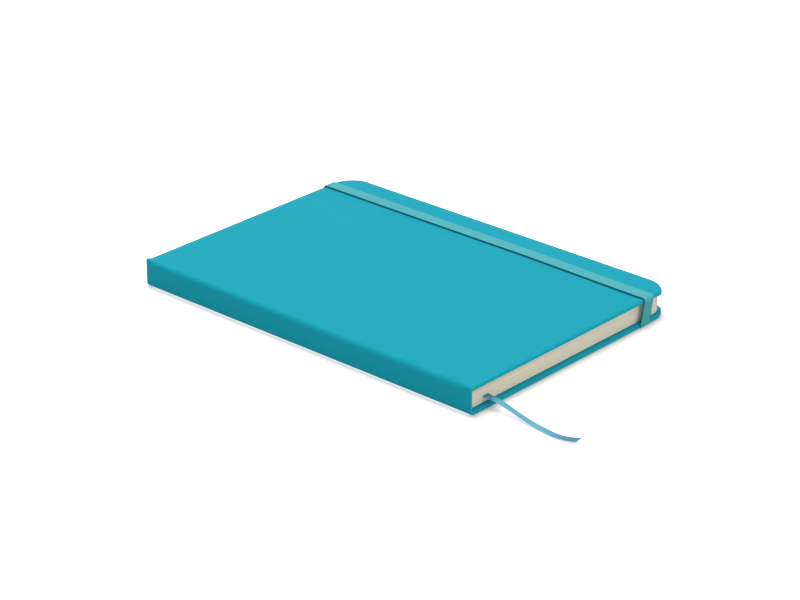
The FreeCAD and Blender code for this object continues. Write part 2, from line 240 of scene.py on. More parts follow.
class Wire:
    """A node's output, so that sums on numbers read as sums."""

    def __init__(self, tree, socket):
        self.tree = tree
        self.socket = socket

    def math(self, operation, *others):
        return self.tree.node("ShaderNodeMath", dict(enumerate((self, *others))), operation=operation)

    def __add__(self, other):
        return self.math("ADD", other)

    def __sub__(self, other):
        return self.math("SUBTRACT", other)

    def __mul__(self, other):
        return self.math("MULTIPLY", other)

    def __truediv__(self, other):
        return self.math("DIVIDE", other)

    def __rsub__(self, other):
        return self.tree.node("ShaderNodeMath", {0: other, 1: self}, operation="SUBTRACT")

    __radd__ = __add__
    __rmul__ = __mul__


class Tree:
    """A node tree while it is being built."""

    def __init__(self, nodes):
        self.tree = nodes

    def node(self, kind, inputs=None, output=0, **settings):
        """Adds a node with its settings, then the values or links of its inputs, and gives one output."""
        made = self.tree.nodes.new(kind)
        for name, value in settings.items():
            setattr(made, name, value)
        for name, value in (inputs or {}).items():
            self.feed(made.inputs[name], value)
        return Wire(self, made.outputs[output]) if len(made.outputs) else None

    def feed(self, socket, value):
        if isinstance(value, Wire):
            self.tree.links.new(value.socket, socket)
        else:
            socket.default_value = value

    def range(self, value, low, high, to_low=0.0, to_high=1.0):
        """The value carried from one range to another, and held within it."""
        return self.node("ShaderNodeMapRange", {
            "Value": value, "From Min": low, "From Max": high, "To Min": to_low, "To Max": to_high,
        })


class Finish(Tree):
    """A material: its tree, the place of a point on the piece, and its one surface shader."""

    def __init__(self, name):
        self.material = bpy.data.materials.new(name)
        self.material.use_nodes = True
        super().__init__(self.material.node_tree)
        self.tree.nodes.clear()
        self.place = self.node("ShaderNodeTexCoord", output="Object")

    def stretched(self, x, y, z):
        """The place, with each axis multiplied."""
        return self.node("ShaderNodeVectorMath", {0: self.place, 1: (x, y, z)}, operation="MULTIPLY")

    def axis(self, name):
        return self.node("ShaderNodeSeparateXYZ", {0: self.place}, output=name)

    def noise(self, scale, detail=2.0, roughness=0.5, at=None):
        """Smooth noise from 0 to 1, with its scale in waves per metre."""
        inputs = {"Vector": at or self.place, "Scale": scale, "Detail": detail, "Roughness": roughness}
        return self.node("ShaderNodeTexNoise", inputs)

    def cells(self, scale):
        """Rounded cells, dark in their middles, with their scale in cells per metre."""
        inputs = {"Vector": self.place, "Scale": scale}
        return self.node("ShaderNodeTexVoronoi", inputs, output="Distance", feature="SMOOTH_F1")

    def between(self, low, high, factor):
        """A colour from low to high, each of which is three numbers or a wire."""
        low, high = (end if isinstance(end, Wire) else (*end, 1) for end in (low, high))
        return self.node("ShaderNodeMix", {0: factor, 6: low, 7: high}, output=2, data_type="RGBA")

    def bumped(self, height, depth):
        """A normal from a height of 0 to 1, which stands for depth in metres."""
        return self.node("ShaderNodeBump", {"Height": height, "Distance": depth, "Strength": 1.0})

    def surface(self, **inputs):
        """Ends the tree with its shader, and gives the material."""
        named = {name.replace("_", " ").title(): value for name, value in inputs.items()}
        named = {name.replace("Ior", "IOR"): value for name, value in named.items()}
        shader = self.node("ShaderNodeBsdfPrincipled", named)
        self.node("ShaderNodeOutputMaterial", {"Surface": shader})
        return self.material


def soft_leather():
    """Soft-touch faux leather: a fine pebbled grain over an even turquoise, almost matte."""
    it = Finish("soft_leather")
    pebbles = it.cells(2600)
    creases = it.noise(900, detail=4, roughness=0.6)
    mottle = it.noise(45, detail=3, roughness=0.55)
    height = pebbles * 0.6 + creases * 0.4
    tone = it.range(mottle * 0.7 + creases * 0.3, 0.35, 0.65)
    even = it.between(*LEATHER_COLOURS, tone)
    return it.surface(
        # The pressed line beside the elastic is painted dark, as a pressed mark and as painted shade.
        base_color=it.between(even, PRESSED_AND_SHADE_COLOUR, pressed_line_and_shade(it)),
        roughness=it.range(creases, 0.3, 0.7, 0.50, 0.60),
        specular_ior_level=0.06,
        normal=it.bumped(height, 0.04 * MM),
    )


def pressed_line_and_shade(it):
    """1 along the line that the elastic's spine side has pressed into the front cover, and 0 beyond it. The
    line is dark both as a pressed mark and as painted shade beside the elastic.
    """
    drift = it.node("ShaderNodeMapRange", {
        "Value": it.axis("Y"), "From Min": -BAND_DRIFT_START, "From Max": -HALF_LENGTH, "To Max": BAND_DRIFT,
    }, interpolation_type="SMOOTHSTEP")
    short = BAND_TOP_X - drift - it.axis("X")
    line = it.range(short, BAND_MARK, BAND_MARK / 2) * it.range(short, *BAND_MARK_END)
    return line * it.range(it.axis("Z"), *(BOOK_THICKNESS - depth for depth in BAND_MARK_DEPTH))


def leaf_paper():
    """Cream writing paper at its cut edges: fine lines along the leaves, a little tone between sections."""
    it = Finish("leaf_paper")
    lines = it.noise(1.0, detail=3, roughness=0.7, at=it.stretched(60, 60, 9000))
    sections = it.noise(1.0, detail=1, at=it.stretched(12, 12, 1200))
    tone = it.range(lines * 0.65 + sections * 0.35, 0.3, 0.7)
    colour = it.between(*LEAF_COLOURS, tone)
    return it.surface(base_color=colour, roughness=0.85, normal=it.bumped(lines, 0.05 * MM))


def end_paper():
    """Uncoated cream endpaper, with a faint fibre."""
    it = Finish("end_paper")
    fibre = it.noise(700, detail=5, roughness=0.7, at=it.stretched(1, 0.35, 1))
    cloud = it.noise(60, detail=2)
    colour = it.between(*ENDPAPER_COLOURS, it.range(cloud, 0.35, 0.65))
    return it.surface(base_color=colour, roughness=0.9, normal=it.bumped(fibre, 0.02 * MM))


def grey_board():
    """Grey bookbinder's board."""
    it = Finish("grey_board")
    fibre = it.noise(1500, detail=5, roughness=0.8)
    colour = it.between(*BOARD_COLOURS, it.range(fibre, 0.35, 0.65))
    return it.surface(base_color=colour, roughness=0.95, normal=it.bumped(fibre, 0.04 * MM))


def open_weave():
    """Unbleached lining cloth in a plain open weave."""
    it = Finish("open_weave")
    warp = (it.axis("Y") * LINING_THREADS).math("SINE")
    weft = (it.axis("Z") * LINING_THREADS).math("SINE")
    weave = it.range(warp * weft, -1, 1)
    colour = it.between(*LINING_COLOURS, weave)
    return it.surface(base_color=colour, roughness=0.95, normal=it.bumped(weave, 0.06 * MM))


def woven(name, colours, ribs, picks, roughness, depth, painted_shade_share):
    """A narrow woven tape: ribs across its width and picks along it, from the tape's own two measures. It is
    darkened towards its last colour, a painted shade, by the share that the given function gives for a place
    along and across it."""
    it = Finish(name)
    low, high, painted_shade_colour = colours
    along = it.node("ShaderNodeAttribute", output="Fac", attribute_name="along")
    across = it.node("ShaderNodeAttribute", output="Fac", attribute_name="across")
    pick = (along * picks + (across * ribs).math("SINE") * 0.9).math("SINE")
    rib = (across * ribs).math("COSINE")
    fuzz = it.noise(2500, detail=3)
    weave = it.range(pick * 0.35 + rib * 0.5 + fuzz, -0.35, 1.35)
    # Painted shade: the weave's colour goes towards the tape's shade colour by the given share.
    colour = it.between(it.between(low, high, weave), painted_shade_colour, painted_shade_share(it, along, across))
    return it.surface(
        base_color=colour, roughness=roughness, specular_ior_level=0.2, normal=it.bumped(weave, depth)
    )


def ribbon_painted_shade(it, along, across):
    """Painted shade on the marker: it is darker where it leaves the pages and towards its free end."""
    leaving = it.range(along, 2 * MM, 7 * MM, 0.6, 0.0)
    return leaving.math("MAXIMUM", it.range(along, 36 * MM, 50 * MM, 0.0, 0.6))


def elastic_painted_shade(it, along, across):
    """Painted shade on the elastic: it is darker along its selvedges, and below its top run, where it goes
    over the edges of the covers.
    """
    selvedge = it.range(across.math("ABSOLUTE"), 0.93, 0.99)
    return selvedge.math("MAXIMUM", it.range(it.axis("Z"), 12.5 * MM, 14.5 * MM, 0.3, 0.0))


# ---------------------------------------------------------------------------------------------------------
# Meshes
# ---------------------------------------------------------------------------------------------------------


def piece(name, vertices, faces, material):
    """A mesh object at the origin whose faces point outwards, smooth except at its sharp edges."""
    mesh = bpy.data.meshes.new(name)
    mesh.from_pydata([tuple(v) for v in vertices], [], faces)
    mesh.validate()
    made = bpy.data.objects.new(name, mesh)
    bpy.context.scene.collection.objects.link(made)
    mesh.materials.append(material)
    finish_faces(mesh)
    return made


def finish_faces(mesh):
    """Joins what touches, turns the faces outwards and smooths them."""
    work = bmesh.new()
    work.from_mesh(mesh)
    bmesh.ops.remove_doubles(work, verts=work.verts, dist=SAME_POINT)
    bmesh.ops.recalc_face_normals(work, faces=work.faces)
    work.to_mesh(mesh)
    work.free()
    mesh.shade_smooth()
    mesh.set_sharp_from_angle(angle=math.radians(SHARP_ANGLE))


class Station:
    """A place along a cover's rim. outer gives its outer point at an inset from the rim, inner is its inner
    point on the rim, out is the way out of the rim in plan, and thin is the inside of the bare skin. The
    outer and the inner face of the rim may hang lower than the cover by sag."""

    def __init__(self, outer, inner, out, thin=None, sag=(0.0, 0.0)):
        self.outer = outer
        self.inner = Vector(inner)
        self.out = Vector(out)
        self.thin = thin
        self.sag = sag

    def rim(self):
        """The rim's section, from the outer face round the edge to the inner face."""
        thickness = (self.inner - self.outer(0.0)).length
        radius = min(EDGE_RADIUS, thickness * EDGE_SHARE)
        pairs = [(TURNED_END, 0.0), (TURNED_END * TURNED_ROW, 0.0), (radius + SUPPORT, 0.0)]
        for n in range(ROLL_STEPS + 1):
            angle = math.pi / 2 * n / ROLL_STEPS
            pairs.append((radius * (1 - math.sin(angle)), radius * (1 - math.cos(angle))))
        points = [self.through(self.outer(inset), self.inner, inset, depth, 0) for inset, depth in pairs]
        for inset, depth in reversed(pairs):
            points.append(self.through(self.inner, self.outer(inset), inset, depth, 1))
        return points

    def through(self, near, far, inset, depth, face):
        """The point at a depth below one face of the rim, on the way to the other, with that face's sag."""
        drop = Vector((0, 0, self.sag[face] * (1 - inset / TURNED_END) ** 2))
        return near + (far - near).normalized() * depth - self.out * inset - drop


def spine_stations(side, dip, end_radius, ear):
    """Up the spine from the middle of its height, and round the shoulder to where the cover lies flat.
    side is -1 at the tail and 1 at the head. The shoulder comes down to end_radius at the end of the spine,
    where the skin is turned in, and stands up there in an ear of this height."""
    end = side * HALF_LENGTH
    out = (0, side, 0)
    middle_z = BOOK_THICKNESS / 2

    skin = THIN_X - SPINE_X

    def shoulder(inset):
        return end_radius + (SHOULDER_FULL_RADIUS - end_radius) * smooth(0, SHOULDER_FADE, inset)

    def raised(x, y, z, inset, share=1.0):
        stands = ear * (JOINT_X - x) / SHOULDER_RADIUS * (1 - smooth(0, EAR_REACH, inset))
        return Vector((x, y, z + max(stands, 0.0) * share))

    def wall(share, x, y):
        def at(inset):
            top = BOOK_THICKNESS - shoulder(inset)
            return raised(x, y, middle_z + (top - middle_z) * share, inset, share)
        return at

    def arc(left, up, y, skin):
        def at(inset):
            radius = shoulder(inset)
            x = SPINE_X + radius - left * (radius - skin)
            return raised(x, y, BOOK_THICKNESS - radius + up * (radius - skin), inset)
        return at

    stations = []
    for n in range(SPINE_STEPS):
        share = n / SPINE_STEPS
        y = end - side * dip * math.cos(math.pi / 2 * share) ** 2
        inner = (WALL_X, y, middle_z + (SHOULDER_Z - middle_z) * share)
        stations.append(Station(wall(share, SPINE_X, y), inner, out, wall(share, THIN_X, y)))
    across = JOINT_X - WALL_X
    rise = INNER_Z - SHOULDER_Z
    corner = math.atan2(rise, across)
    angles = [math.pi / 2 * n / SHOULDER_STEPS for n in range(SHOULDER_STEPS)] + [corner]
    for angle in sorted(angles):
        left, up = math.cos(angle), math.sin(angle)
        reach = across / left if angle <= corner else rise / up
        inner = (JOINT_X - left * reach, end, SHOULDER_Z + up * reach)
        stations.append(Station(arc(left, up, end, 0.0), inner, out, arc(left, up, end, skin)))
    stations.append(Station(
        lambda inset: Vector((JOINT_X, end, BOOK_THICKNESS)), (JOINT_X, end, INNER_Z), out,
        lambda inset: Vector((JOINT_X, end, BOOK_THICKNESS - skin)),
    ))
    return stations


def cover_stations(side, droop):
    """Along the cover's edge and round its corner to the fore-edge. The corner droops, and is thicker where
    the turned-in skin is gathered under it."""
    beside = Vector((JOINT_X + FLAT_START, side * HALF_LENGTH, BOOK_THICKNESS))
    stations = [Station(lambda inset: beside, (beside.x, beside.y, INNER_Z), (0, side, 0))]
    centre_x = FORE_X - CORNER_RADIUS
    centre_y = side * (HALF_LENGTH - CORNER_RADIUS)
    for n in range(CORNER_STEPS + 1):
        angle = math.pi / 2 * n / CORNER_STEPS
        out = Vector((math.sin(angle), side * math.cos(angle), 0))
        x = centre_x + CORNER_RADIUS * out.x
        y = centre_y + CORNER_RADIUS * out.y
        top = Vector((x, y, BOOK_THICKNESS))
        bend = math.sin(2 * angle)
        sag = (droop * bend, (droop + CORNER_FOLD) * bend)
        stations.append(Station(lambda inset, top=top: top, (x, y, INNER_Z), out, sag=sag))
    return stations


def cover_skin(name, material, tail_radius, head_radius, ear, droop):
    """The front cover's skin with its half of the spine. It is thin over the joint, where it folds, and full
    at the rims and over the board, which it hides."""
    spine = spine_stations(-1, SPINE_TAIL_DIP, tail_radius, 0.0)
    joint = len(spine) - 1
    tail = spine + cover_stations(-1, droop)
    head = spine_stations(1, 0.0, head_radius, ear) + cover_stations(1, droop)
    rim = tail + head[::-1]
    last = len(rim) - 1
    sections = [station.rim() for station in rim]
    vertices = [point for section in sections for point in section]
    faces = []
    rings = len(sections[0])
    inside = rings - 1

    def at(station, ring):
        return station * rings + ring

    def added(points):
        vertices.extend(points)
        return list(range(len(vertices) - len(points), len(vertices)))

    for s in range(last):
        for k in range(inside):
            faces.append((at(s, k), at(s + 1, k), at(s + 1, k + 1), at(s, k + 1)))

    # Across the book between the two rims: lines along the spine, outside and inside the bare skin.
    outer_lines = []
    thin_lines = []
    for s in range(joint + 1):
        both = (rim[s], rim[last - s])
        near, far = ([end.outer(inset) - end.out * inset for inset in SPINE_ROWS] for end in both)
        outer_lines.append([at(s, 0)] + added(near + far[::-1]) + [at(last - s, 0)])
        rows = [TURNED_END] + SPINE_ROWS
        near, far = ([end.thin(inset) - end.out * inset for inset in rows] for end in both)
        thin_lines.append(added(near + far[::-1]))
    for s in range(joint):
        for lines in (outer_lines, thin_lines):
            for n in range(len(lines[s]) - 1):
                faces.append((lines[s][n], lines[s][n + 1], lines[s + 1][n + 1], lines[s + 1][n]))
        for end, one, next_one in ((0, s, s + 1), (-1, last - s, last - s - 1)):
            faces.append((at(one, inside), at(next_one, inside), thin_lines[s + 1][end], thin_lines[s][end]))

    # The flat of the cover outside and inside, the step at the joint, and the cut in the middle of the spine.
    faces.append(tuple(outer_lines[joint]) + (at(last - joint - 1, 0), at(joint + 1, 0)))
    for s in range(joint + 1, len(tail) - 1):
        faces.append((at(s, 0), at(s + 1, 0), at(last - s - 1, 0), at(last - s, 0)))
    for s in range(joint, len(tail) - 1):
        faces.append((at(s, inside), at(s + 1, inside), at(last - s - 1, inside), at(last - s, inside)))
    faces.append(tuple(thin_lines[joint]) + (at(last - joint, inside), at(joint, inside)))
    faces.append(tuple(outer_lines[0]) + tuple(thin_lines[0][::-1]))
    for s, end in ((0, 0), (last, -1)):
        faces.append(tuple(at(s, k) for k in range(rings)) + (thin_lines[0][end],))
    return piece(name, vertices, faces, material)


def turned_over(made):
    """The same piece for the back cover: mirrored across the middle of the book's thickness."""
    for vertex in made.data.vertices:
        vertex.co.z = BOOK_THICKNESS - vertex.co.z
    finish_faces(made.data)
    return made


def grooved(skin):
    """The back skin with two shallow ways cut in its outside, one from each slit to the edge, where the
    elastic lies flush."""
    beyond = 1 * MM
    near_x = BAND_LOW.x - BAND_FIT
    far_x = BAND_LOW.x + BAND_WIDTH + BAND_LEAN + BAND_FIT
    end_y = HALF_LENGTH + beyond
    slit_y = HALF_LENGTH - SLIT_SETBACK - BAND_THICKNESS - 2 * BAND_FIT
    section = ((end_y, -beyond), (end_y, BAND_THICKNESS), (slit_y, BAND_THICKNESS), (slit_y, -beyond))
    work = bmesh.new()
    for side in (-1, 1):
        corners = [work.verts.new((x, side * y, z)) for x in (near_x, far_x) for y, z in section]
        work.faces.new(corners[:4])
        work.faces.new(corners[4:])
        for n in range(4):
            work.faces.new([corners[k] for k in (n, (n + 1) % 4, (n + 1) % 4 + 4, n + 4)])
    bmesh.ops.recalc_face_normals(work, faces=work.faces)
    mesh = bpy.data.meshes.new("elastic_ways")
    work.to_mesh(mesh)
    work.free()
    ways = bpy.data.objects.new("elastic_ways", mesh)
    bpy.context.scene.collection.objects.link(ways)
    cut = skin.modifiers.new("ways", "BOOLEAN")
    cut.operation = "DIFFERENCE"
    cut.solver = "EXACT"
    cut.object = ways
    graph = bpy.context.evaluated_depsgraph_get()
    result = bpy.data.meshes.new_from_object(skin.evaluated_get(graph))
    skin.modifiers.remove(cut)
    bpy.data.objects.remove(ways)
    skin.data = result
    finish_faces(result)
    return skin


def folded_sheet(name, sections, material):
    """A sheet as a closed strip. Each section is its upper and lower point and half its length."""
    vertices = []
    faces = []
    for (upper_x, upper_z), (lower_x, lower_z), half in sections:
        vertices += [(upper_x, -half, upper_z), (upper_x, half, upper_z)]
        vertices += [(lower_x, half, lower_z), (lower_x, -half, lower_z)]
    for n in range(len(sections) - 1):
        for k in range(4):
            a, b = 4 * n + k, 4 * n + (k + 1) % 4
            faces.append((a, b, b + 4, a + 4))
    faces.append((0, 1, 2, 3))
    end = 4 * (len(sections) - 1)
    faces.append((end, end + 1, end + 2, end + 3))
    return piece(name, vertices, faces, material)


def endpaper(name, material):
    """The front endpaper in one folded sheet: glued half, fold at the gutter and free half."""
    pasted_low, pasted_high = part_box("front_pastedown")
    free_low, free_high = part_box("front_flyleaf")
    thickness = pasted_high.z - pasted_low.z
    gutter_x = free_low.x
    outer_x = gutter_x - thickness

    def half_at(x, reach, half, radius):
        over = max(0.0, x - (reach - radius))
        return half - radius + math.sqrt(max(radius * radius - over * over, 0.0))

    def flat(reach, half, radius):
        xs = [gutter_x + FLAT_START]
        for n in range(CORNER_STEPS + 1):
            xs.append(reach - radius + radius * math.sin(math.pi / 2 * n / CORNER_STEPS))
        return [(x, half_at(x, reach, half, radius)) for x in xs]

    pasted_radius = CORNER_RADIUS - (FORE_X - pasted_high.x)
    sections = []
    for x, half in reversed(flat(pasted_high.x, pasted_high.y, pasted_radius)):
        sections.append(((x, pasted_high.z), (x, pasted_low.z), half))
    half = free_high.y
    sections.append(((gutter_x, pasted_high.z), (gutter_x, pasted_low.z), half))
    soft = thickness * ENDPAPER_SOFT_EDGE
    sections.append(((outer_x + soft, pasted_high.z - soft), (gutter_x, pasted_low.z), half))
    for n in range(ENDPAPER_FOLD_STEPS + 1):
        z = pasted_low.z + (free_high.z - pasted_low.z) * n / ENDPAPER_FOLD_STEPS
        sections.append(((outer_x, z), (gutter_x, z), half))
    sections.append(((outer_x + soft, free_low.z + soft), (gutter_x, free_high.z), half))
    sections.append(((gutter_x, free_low.z), (gutter_x, free_high.z), half))
    for x, half in flat(free_high.x, free_high.y, PAGE_CORNER_RADIUS):
        sections.append(((x, free_low.z), (x, free_high.z), half))
    return folded_sheet(name, sections, material)


# ---------------------------------------------------------------------------------------------------------
# Geometry nodes
# ---------------------------------------------------------------------------------------------------------


class Grown(Tree):
    """A geometry-node tree with named inputs, that is run once on a mesh."""

    def __init__(self, name, sizes):
        group = bpy.data.node_groups.new(name, "GeometryNodeTree")
        super().__init__(group)
        group.interface.new_socket("Geometry", in_out="INPUT", socket_type="NodeSocketGeometry")
        self.sockets = {}
        for title, kind in sizes.items():
            made = group.interface.new_socket(title, in_out="INPUT", socket_type=kind)
            self.sockets[title] = made.identifier
        group.interface.new_socket("Geometry", in_out="OUTPUT", socket_type="NodeSocketGeometry")
        self.source = group.nodes.new("NodeGroupInput")

    def given(self, title):
        return Wire(self, self.source.outputs[title])

    def stored(self, geometry, name, value, kind):
        """The geometry with a value kept on its points under a name."""
        inputs = {"Geometry": geometry, "Name": name, "Value": value}
        return self.node("GeometryNodeStoreNamedAttribute", inputs, data_type=kind, domain="POINT")

    def named(self, name, kind):
        return self.node("GeometryNodeInputNamedAttribute", {"Name": name}, data_type=kind)

    def close(self, geometry):
        """Ends the tree with one plain mesh in its material."""
        real = self.node("GeometryNodeRealizeInstances", {0: geometry})
        material = self.given("Material")
        coloured = self.node("GeometryNodeSetMaterial", {"Geometry": real, "Material": material})
        self.node("NodeGroupOutput", {0: coloured})

    def grow(self, name, mesh, values):
        """Runs the tree on mesh with these values, and gives the result as a piece of its own."""
        carrier = bpy.data.objects.new(name + "_source", mesh)
        bpy.context.scene.collection.objects.link(carrier)
        modifier = carrier.modifiers.new(name, "NODES")
        modifier.node_group = self.tree
        for title, value in values.items():
            modifier[self.sockets[title]] = value
        graph = bpy.context.evaluated_depsgraph_get()
        made = bpy.data.objects.new(name, bpy.data.meshes.new_from_object(carrier.evaluated_get(graph)))
        bpy.data.objects.remove(carrier)
        bpy.context.scene.collection.objects.link(made)
        return made


def leaf_stack_tree():
    """Leaves piled up one on another, each a little out of line with the rest."""
    sizes = {
        "Leaves": "NodeSocketInt",
        "Pitch": "NodeSocketFloat",
        "Unevenness": "NodeSocketFloat",
        "Seed": "NodeSocketInt",
        "Material": "NodeSocketMaterial",
    }
    it = Grown("leaf_stack", sizes)
    step = it.node("ShaderNodeCombineXYZ", {"Z": it.given("Pitch")})
    places = it.node("GeometryNodeMeshLine", {"Count": it.given("Leaves"), "Offset": step})
    leaves = it.node("GeometryNodeInstanceOnPoints", {"Points": places, "Instance": it.given("Geometry")})
    most = it.given("Unevenness")
    high = it.node("ShaderNodeCombineXYZ", {"X": most, "Y": most})
    low = it.node("ShaderNodeVectorMath", {0: high, "Scale": -1.0}, operation="SCALE")
    shift = it.node("FunctionNodeRandomValue", {
        0: low, 1: high, "Seed": it.given("Seed"),
    }, data_type="FLOAT_VECTOR")
    it.close(it.node("GeometryNodeTranslateInstances", {"Instances": leaves, "Translation": shift}))
    return it


def tape_tree():
    """A woven tape along a line of points, whose ribs run along both faces. Each point carries the direction
    that is outward there and how far the tape is shifted along X. The far end may be cut on a slant."""
    sizes = {
        "Width": "NodeSocketFloat",
        "Thickness": "NodeSocketFloat",
        "Ribs": "NodeSocketFloat",
        "Rib height": "NodeSocketFloat",
        "Section points": "NodeSocketInt",
        "Slant": "NodeSocketFloat",
        "Slant reach": "NodeSocketFloat",
        "Material": "NodeSocketMaterial",
    }
    it = Grown("tape", sizes)
    ring = it.node("GeometryNodeCurvePrimitiveCircle", {
        "Resolution": it.given("Section points"), "Radius": 1.0,
    })
    place = it.node("GeometryNodeInputPosition")
    through = it.node("ShaderNodeSeparateXYZ", {0: place}, output="X")
    across = it.node("ShaderNodeSeparateXYZ", {0: place}, output="Y").math("ARCSINE") * (2 / math.pi)
    ring = it.stored(ring, "across", across, "FLOAT")
    across = it.named("across", "FLOAT")
    past = it.range(across.math("ABSOLUTE"), 1 - TAPE_SELVEDGE, 1)
    selvedge = (1 - past * past).math("SQRT")
    wave = (across * it.given("Ribs") * math.pi).math("COSINE")
    swell = it.given("Thickness") / 2 + it.given("Rib height") * (wave - 1) / 2
    height = through.math("SIGN") * selvedge * swell
    section = it.node("ShaderNodeCombineXYZ", {"X": height, "Y": across * it.given("Width") / 2})
    ring = it.node("GeometryNodeSetPosition", {"Geometry": ring, "Position": section})
    line = it.node("GeometryNodeMeshToCurve", {"Mesh": it.given("Geometry")})
    line = it.node("GeometryNodeSetCurveNormal", {
        "Curve": line, "Normal": it.named("outward", "FLOAT_VECTOR"),
    }, mode="FREE")
    line = it.stored(line, "along", it.node("GeometryNodeSplineParameter", output="Length"), "FLOAT")
    line = it.stored(line, "heading", it.node("GeometryNodeInputTangent"), "FLOAT_VECTOR")
    tape = it.node("GeometryNodeCurveToMesh", {"Curve": line, "Profile Curve": ring, "Fill Caps": True})
    left = it.node("GeometryNodeCurveLength", {"Curve": line}) - it.named("along", "FLOAT")
    cut = it.range(left, it.given("Slant reach"), 0) * it.named("across", "FLOAT") * it.given("Slant") / 2
    slanted = it.node("ShaderNodeVectorMath", {
        0: it.named("heading", "FLOAT_VECTOR"), "Scale": cut,
    }, operation="SCALE")
    sideways = it.node("ShaderNodeCombineXYZ", {"X": it.named("sideways", "FLOAT")})
    moved = it.node("ShaderNodeVectorMath", {0: slanted, 1: sideways}, operation="ADD")
    it.close(it.node("GeometryNodeSetPosition", {"Geometry": tape, "Offset": moved}))
    return it


def line_mesh(name, points, outward, sideways=None):
    """A chain of edges through points, each with the direction that is outward there."""
    mesh = bpy.data.meshes.new(name)
    mesh.from_pydata([tuple(p) for p in points], [(n, n + 1) for n in range(len(points) - 1)], [])
    directions = mesh.attributes.new("outward", "FLOAT_VECTOR", "POINT")
    directions.data.foreach_set("vector", [part for direction in outward for part in direction])
    shifts = mesh.attributes.new("sideways", "FLOAT", "POINT")
    shifts.data.foreach_set("value", sideways or [0.0] * len(points))
    return mesh


# ---------------------------------------------------------------------------------------------------------
# Camera, and the ribbon's free end
# ---------------------------------------------------------------------------------------------------------


def camera():
    """A long lens over the tail of the spine."""
    data = bpy.data.cameras.new("camera")
    data.lens = CAMERA_LENS
    data.sensor_width = CAMERA_SENSOR
    data.shift_x, data.shift_y = CAMERA_SHIFT
    made = bpy.data.objects.new("camera", data)
    bpy.context.scene.collection.objects.link(made)
    yaw, rise = map(math.radians, CAMERA_ANGLES)
    toward = Vector((-math.cos(rise) * math.sin(yaw), -math.cos(rise) * math.cos(yaw), math.sin(rise)))
    made.location = Vector(CAMERA_TARGET) + toward * CAMERA_DISTANCE
    made.rotation_euler = toward.to_track_quat("Z", "Y").to_euler()
    bpy.context.scene.camera = made


def route_points(route):
    """Points along a smooth spline that has the route's points as its control points."""
    curve = bpy.data.curves.new("ribbon_route", "CURVE")
    curve.dimensions = "3D"
    curve.resolution_u = RIBBON_STEPS
    spline = curve.splines.new("NURBS")
    spline.points.add(len(route) - 1)
    for point, place in zip(spline.points, route):
        point.co = (*place, 1)
    spline.order_u = 3
    spline.use_endpoint_u = True
    holder = bpy.data.objects.new("ribbon_route", curve)
    bpy.context.scene.collection.objects.link(holder)
    graph = bpy.context.evaluated_depsgraph_get()
    mesh = bpy.data.meshes.new_from_object(holder.evaluated_get(graph))
    points = [vertex.co.copy() for vertex in mesh.vertices]
    bpy.data.objects.remove(holder)
    return points


def ribbon(tape, material):
    """The marker's free end: a flat strip, level across its width, its end cut on a slant."""
    leaving = Vector((SPINE_X + RIBBON_INSET, BLOCK_LOW.y, 0))
    points = route_points([leaving + Vector(step) for step in RIBBON_ROUTE])
    outward = []
    for n, point in enumerate(points):
        ahead = (points[min(n + 1, len(points) - 1)] - points[max(n - 1, 0)]).normalized()
        side = ahead.cross(Vector((0, 0, 1))).normalized()
        roll = math.radians(along_table(RIBBON_ROLL, n / (len(points) - 1)))
        outward.append(side.cross(ahead) * math.cos(roll) - side * math.sin(roll))
    made = tape.grow("ribbon_marker", line_mesh("ribbon_line", points, outward), {
        "Width": RIBBON_WIDTH,
        "Thickness": RIBBON_THICKNESS,
        "Ribs": 6.0,
        "Rib height": 0.0,
        "Section points": RIBBON_SECTION_POINTS,
        "Slant": RIBBON_SLANT,
        "Slant reach": RIBBON_SLANT_REACH,
        "Material": material,
    })
    finish_faces(made.data)
    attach(made, "text_block")
    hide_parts("ribbon_tail")


# ---------------------------------------------------------------------------------------------------------
# The elastic closure
# ---------------------------------------------------------------------------------------------------------


def fold(centre_y, centre_z, radius, start, turn, steps):
    """Points round a fold, each with its outward direction; angles from +Y towards +Z, in degrees."""
    found = []
    for n in range(steps + 1):
        angle = math.radians(start + turn * n / steps)
        out = Vector((0, math.cos(angle), math.sin(angle)))
        found.append((Vector((0, centre_y, centre_z)) + out * radius, out))
    return found


def band_line():
    """The loop's tail half in its own plane: from the tongue inside the back cover, out through the slit,
    round the tail edge and up to the middle of the top run. Each point has its outward direction."""
    half_tape = BAND_THICKNESS / 2
    lowest = half_tape
    top = BAND_HIGH.z - half_tape
    face = -(BAND_HIGH.y - half_tape)
    turn = EDGE_RADIUS + BAND_FIT + half_tape
    slit_y = -(HALF_LENGTH - SLIT_SETBACK) + BAND_FIT + half_tape
    tongue_z = SKIN_BACK_HIGH - BAND_FIT - half_tape
    small = half_tape + SLIT_FOLD_RADIUS
    up, down = Vector((0, 0, 1)), Vector((0, 0, -1))
    line = [(Vector((0, slit_y + BAND_TONGUE, tongue_z)), down)]
    inner_fold = fold(slit_y + small, tongue_z - small, small, 90, 90, SLIT_FOLD_STEPS)
    line += [(p, -out) for p, out in inner_fold]
    line += fold(slit_y - small, lowest + small, small, 0, -90, SLIT_FOLD_STEPS)
    for n in range(1, BAND_UNDER_STEPS):
        y = slit_y - small + (face + turn - slit_y + small) * n / BAND_UNDER_STEPS
        line.append((Vector((0, y, lowest)), down))
    line += fold(face + turn, lowest + turn, turn, 270, -90, BAND_FOLD_STEPS)
    for n in range(1, BAND_LEG_STEPS):
        z = lowest + turn + (top - turn - lowest - turn) * n / BAND_LEG_STEPS
        line.append((Vector((0, face, z)), Vector((0, -1, 0))))
    line += fold(face + turn, top - turn, turn, 180, -90, BAND_FOLD_STEPS)
    for n in range(1, BAND_TOP_STEPS + 1):
        y = (face + turn) * (1 - n / BAND_TOP_STEPS)
        line.append((Vector((0, y, top)), up))
    return line


